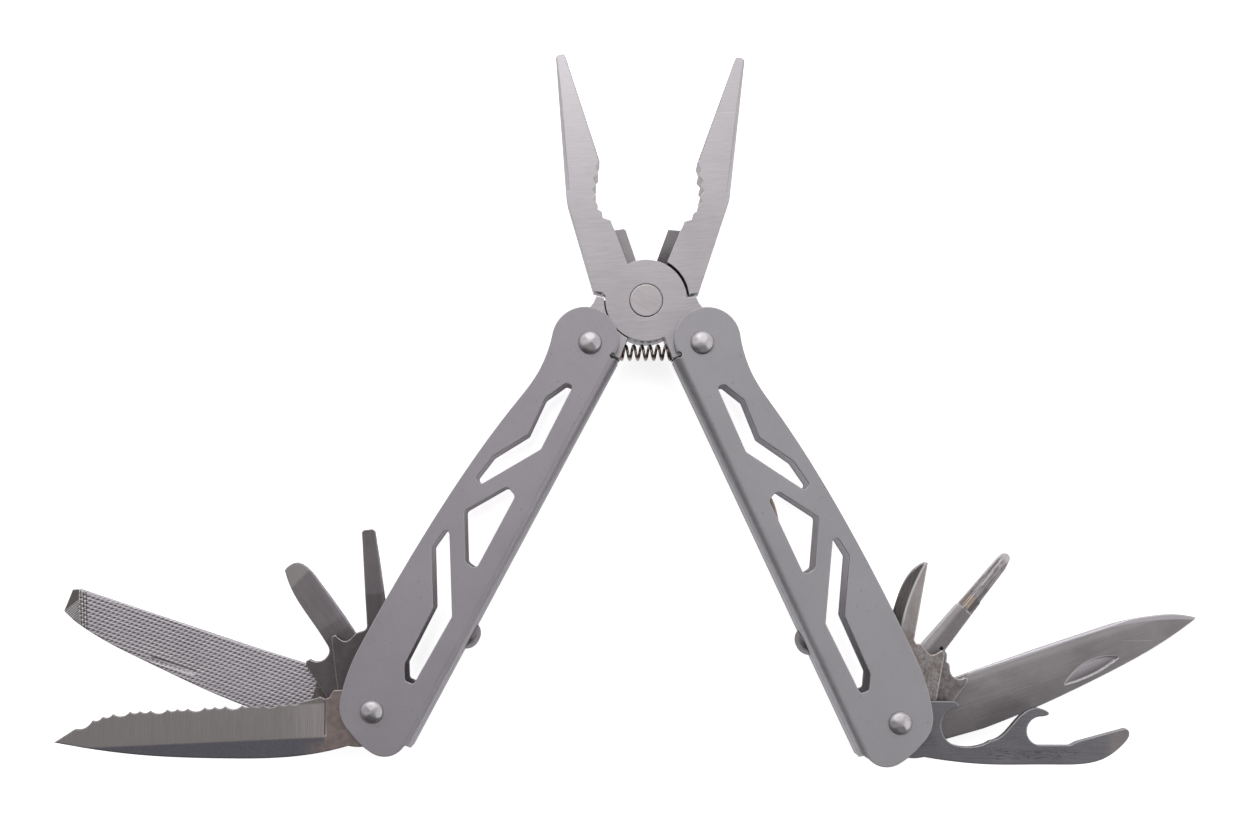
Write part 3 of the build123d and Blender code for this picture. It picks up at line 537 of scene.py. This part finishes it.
def hammered_rivet(node, body, seed):
    """Through rivet with two peened heads, each flattened by a few hammer blows."""
    low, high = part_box(node)
    centre = (low + high) / 2
    radius = (high.x - low.x) / 2
    plate_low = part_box(body)[0].z
    plate_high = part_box(body)[1].z
    shank = radius - HEAD_OVERHANG
    pick = random.Random(seed)
    rise = high.z - plate_high
    rings, around = 12, 60
    profile = [
        (radius * math.sin(math.pi / 2 * i / rings), rise * math.cos(math.pi / 2 * i / rings) ** 0.8)
        for i in range(rings + 1)
    ]
    blows = []
    for i in range(4):
        way = math.pi / 2 * i + pick.uniform(-0.4, 0.4)
        slope = pick.uniform(0.16, 0.42)
        touch = max(z + slope * r for r, z in profile)
        blows.append((math.cos(way), math.sin(way), slope, touch - pick.uniform(0.05, 0.11) * MM))

    def head(sign, plate):
        made = []
        for r, dome in profile:
            row = []
            for k in range(around):
                turn = 2 * math.pi * k / around
                x = r * math.cos(turn)
                y = r * math.sin(turn)
                z = min([dome] + [reach - slope * (bx * x + by * y) for bx, by, slope, reach in blows])
                row.append((centre.x + x, centre.y + y, plate + sign * max(z, 0.0)))
            made.append(row)
        return made

    rows = head(1, plate_high)
    for z in (plate_high, plate_low):
        turns = [2 * math.pi * k / around for k in range(around)]
        rows.append([(centre.x + shank * math.cos(t), centre.y + shank * math.sin(t), z) for t in turns])
    rows += head(-1, plate_low)[::-1]
    mesh = bpy.data.meshes.new(node + "_hammered")
    built = bmesh.new()
    grid = [[built.verts.new(p) for p in row] for row in rows]
    for upper, lower in zip(grid, grid[1:]):
        for k in range(around):
            built.faces.new((upper[k], lower[k], lower[(k + 1) % around], upper[(k + 1) % around]))
    bmesh.ops.remove_doubles(built, verts=built.verts[:], dist=1e-6)
    bmesh.ops.recalc_face_normals(built, faces=built.faces[:])
    built.to_mesh(mesh)
    built.free()
    for face in mesh.polygons:
        face.use_smooth = True
    mesh.set_sharp_from_angle(angle=math.radians(25))
    made = add_object(node + "_hammered", mesh)
    mesh.materials.append(peened)
    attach(made, body)
    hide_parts(node)


for seed, (end, name) in enumerate((e, n) for e in ("tang", "tool") for n in SIDE):
    hammered_rivet(f"{end}_rivet_{name}", f"handle_{name}", 11 + seed)

# ---- springs -------------------------------------------------------------------
oiled = steel(
    "spring_steel", rgb(206, 188, 178), rgb(122, 106, 98), 0.28, (PIVOT, 0.0), rim=0.0, wall_shade=0.6,
)


def coil_spring():
    """Wire wound between the two tangs."""
    low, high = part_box("jaw_spring")
    wire = SPRING_WIRE
    coil = (high.z - low.z) / 2 - wire
    middle = (low + high) / 2
    turns, steps, sides = 7, 24, 10
    mesh = bpy.data.meshes.new("coil_spring")
    built = bmesh.new()
    rows = []
    length = high.x - low.x - 2 * wire
    total = turns * steps
    for i in range(total + 1):
        turn = 2 * math.pi * i / steps
        out = Vector((0, math.cos(turn), math.sin(turn)))
        core = Vector((
            low.x + wire + length * i / total,
            middle.y + coil * math.cos(turn),
            middle.z + coil * math.sin(turn),
        ))
        rise = length / (2 * math.pi * turns)
        along = Vector((rise, -coil * math.sin(turn), coil * math.cos(turn))).normalized()
        third = along.cross(out)
        rows.append([
            built.verts.new(core + wire * (math.cos(a) * out + math.sin(a) * third))
            for a in (2 * math.pi * k / sides for k in range(sides))
        ])
    for a, b in zip(rows, rows[1:]):
        for k in range(sides):
            built.faces.new((a[k], a[(k + 1) % sides], b[(k + 1) % sides], b[k]))
    built.faces.new(rows[0][::-1])
    built.faces.new(rows[-1])
    bmesh.ops.recalc_face_normals(built, faces=built.faces[:])
    for face in built.faces:
        face.smooth = True
    built.to_mesh(mesh)
    built.free()
    made = add_object("coil_spring", mesh)
    mesh.materials.append(oiled)
    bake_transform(made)
    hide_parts("jaw_spring")


def leaf_spring(name):
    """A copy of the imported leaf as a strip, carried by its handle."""
    node = NODES[f"leaf_spring_{name}"]
    made = add_object(f"leaf_strip_{name}", node.data.copy())
    made.matrix_world = node.matrix_world.copy()
    made.data.materials.clear()
    made.data.materials.append(oiled)
    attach(made, f"handle_{name}")
    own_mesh(made)
    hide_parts(node.name)


coil_spring()
leaf_spring("left")
leaf_spring("right")


# ---- floor, light and camera --------------------------------------------------
def floor():
    mesh = bpy.data.meshes.new("floor")
    half = 2.5
    corners = [(-half, -half, 0), (half, -half, 0), (half, half, 0), (-half, half, 0)]
    mesh.from_pydata(corners, [], [(0, 1, 2, 3)])
    made = add_object("floor", mesh)
    made.location.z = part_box("tang_rivet_left")[0].z - FLOOR_GAP
    g = Graph("pale_floor")
    paper = g.noise(g.local(Vector((0, 0, 0)), 0.0), 0.05, 2.0, 0.5)
    colour = g.mix(paper, (0.93, 0.93, 0.93, 1), (0.97, 0.97, 0.97, 1))
    surface = g.node("BsdfPrincipled", {"Base Color": colour, "Roughness": 0.9})
    surface.inputs["Emission Color"].default_value = (1, 1, 1, 1)
    surface.inputs["Emission Strength"].default_value = 0.75
    mesh.materials.append(g.finish(surface))


def world():
    """Studio surroundings that fade from bright at +Y to nearly dark at -Y."""
    sky = bpy.data.worlds.new("studio")
    bpy.context.scene.world = sky
    sky.use_nodes = True
    tree = sky.node_tree
    tree.nodes.clear()
    place = tree.nodes.new("ShaderNodeTexCoord")
    split = tree.nodes.new("ShaderNodeSeparateXYZ")
    tree.links.new(place.outputs["Generated"], split.inputs[0])
    ramp = tree.nodes.new("ShaderNodeMapRange")
    tree.links.new(split.outputs[1], ramp.inputs[0])
    for socket, value in zip(list(ramp.inputs)[1:5], (-0.5, 0.5, 0.03, 0.88)):
        socket.default_value = value
    back = tree.nodes.new("ShaderNodeBackground")
    back.inputs["Color"].default_value = (1.0, 0.985, 0.99, 1)
    tree.links.new(ramp.outputs[0], back.inputs["Strength"])
    out = tree.nodes.new("ShaderNodeOutputWorld")
    tree.links.new(back.outputs[0], out.inputs[0])


def softbox(name, place, size, power):
    data = bpy.data.lights.new(name, "AREA")
    data.shape = "RECTANGLE"
    data.size, data.size_y = size
    data.energy = power
    lamp = add_object(name, data)
    lamp.location = place
    lamp.rotation_euler = (-Vector(place)).to_track_quat("-Z", "Y").to_euler()


def camera():
    """Straight down from 450 mm above the handles, aimed low and shifted up to frame the tool."""
    data = bpy.data.cameras.new("camera")
    data.lens = 63.2
    data.shift_x = 0.0208
    data.shift_y = 0.1108
    made = add_object("camera", data)
    middle = (EYE["left"] + EYE["right"]) / 2
    made.location = (middle.x - 9.7 * MM, middle.y - 42.56 * MM, HANDLE_TOP + CAMERA_HEIGHT)
    bpy.context.scene.camera = made


floor()
world()
softbox("key_softbox", (-0.12, 0.45, 0.7), (0.5, 0.4), 1.3)
softbox("fill_softbox", (0.5, -0.2, 0.55), (0.4, 0.4), 0.8)
camera()
bpy.context.scene.view_settings.view_transform = "Standard"
